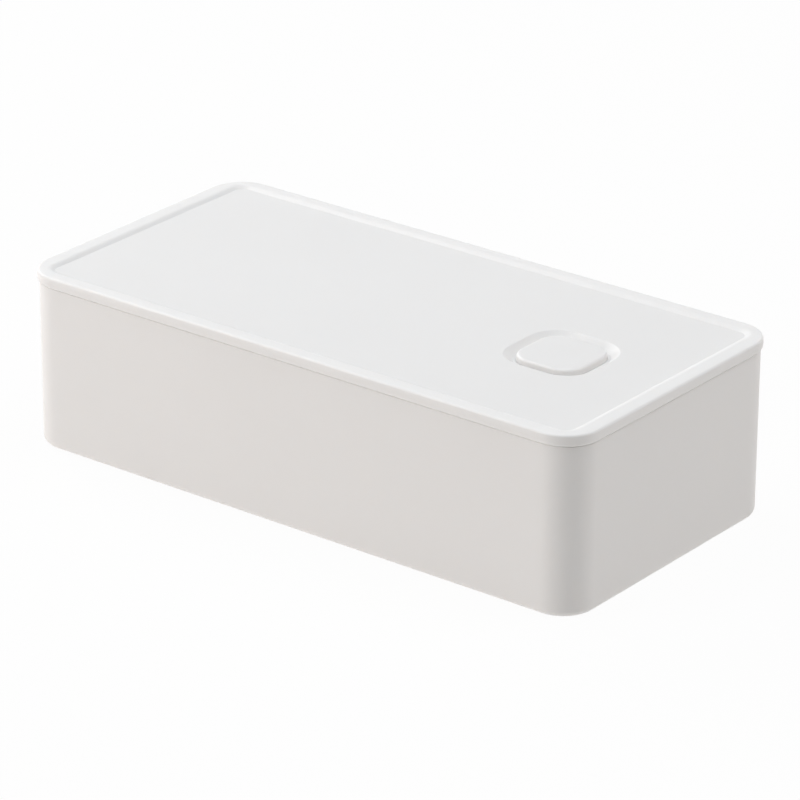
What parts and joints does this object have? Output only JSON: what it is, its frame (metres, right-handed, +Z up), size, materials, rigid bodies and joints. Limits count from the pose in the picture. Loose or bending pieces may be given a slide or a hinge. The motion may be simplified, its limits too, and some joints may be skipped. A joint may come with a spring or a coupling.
{
  "type": "lidded storage box",
  "caption": "Rectangular moulded-plastic storage box with a lift-off sealed lid, a raised rim round a recessed panel, and a sprung press-to-vent button set in a sloping dish.",
  "frame": {"origin": "middle of the base, on the surface the box stands on", "axes": "+Z up, +X along the length towards the end with the vent button, -Y towards the long side seen in the picture"},
  "size_m": [0.245, 0.121, 0.0675],
  "materials": {
    "tub_plastic": "fine matt, warm white",
    "lid_plastic": "satin, white",
    "silicone": "soft, milky",
    "steel": "bright stainless"
  },
  "bodies": {
    "tub": {"tub": "tub_plastic"},
    "lid": {"lid": "lid_plastic", "lid_gasket": "silicone", "vent_housing": "tub_plastic", "housing_seal": "silicone", "housing_screws": "steel", "vent_spring": "steel"},
    "vent": {"vent_button": "lid_plastic", "vent_stem": "steel", "poppet_seal": "silicone", "poppet_washer": "steel", "stem_clip": "steel"}
  },
  "joints": [
    {"name": "lid_lift", "type": "slide", "parent": "tub", "child": "lid", "axis": [0, 0, 1], "range_m": [0, 0.12]},
    {"name": "vent_press", "type": "slide", "parent": "lid", "child": "vent", "axis": [0, 0, -1], "range_m": [0, 0.0025], "stiffness_N_per_m": 300, "springref_m": -0.005, "deforming": ["vent_spring"]}
  ]
}
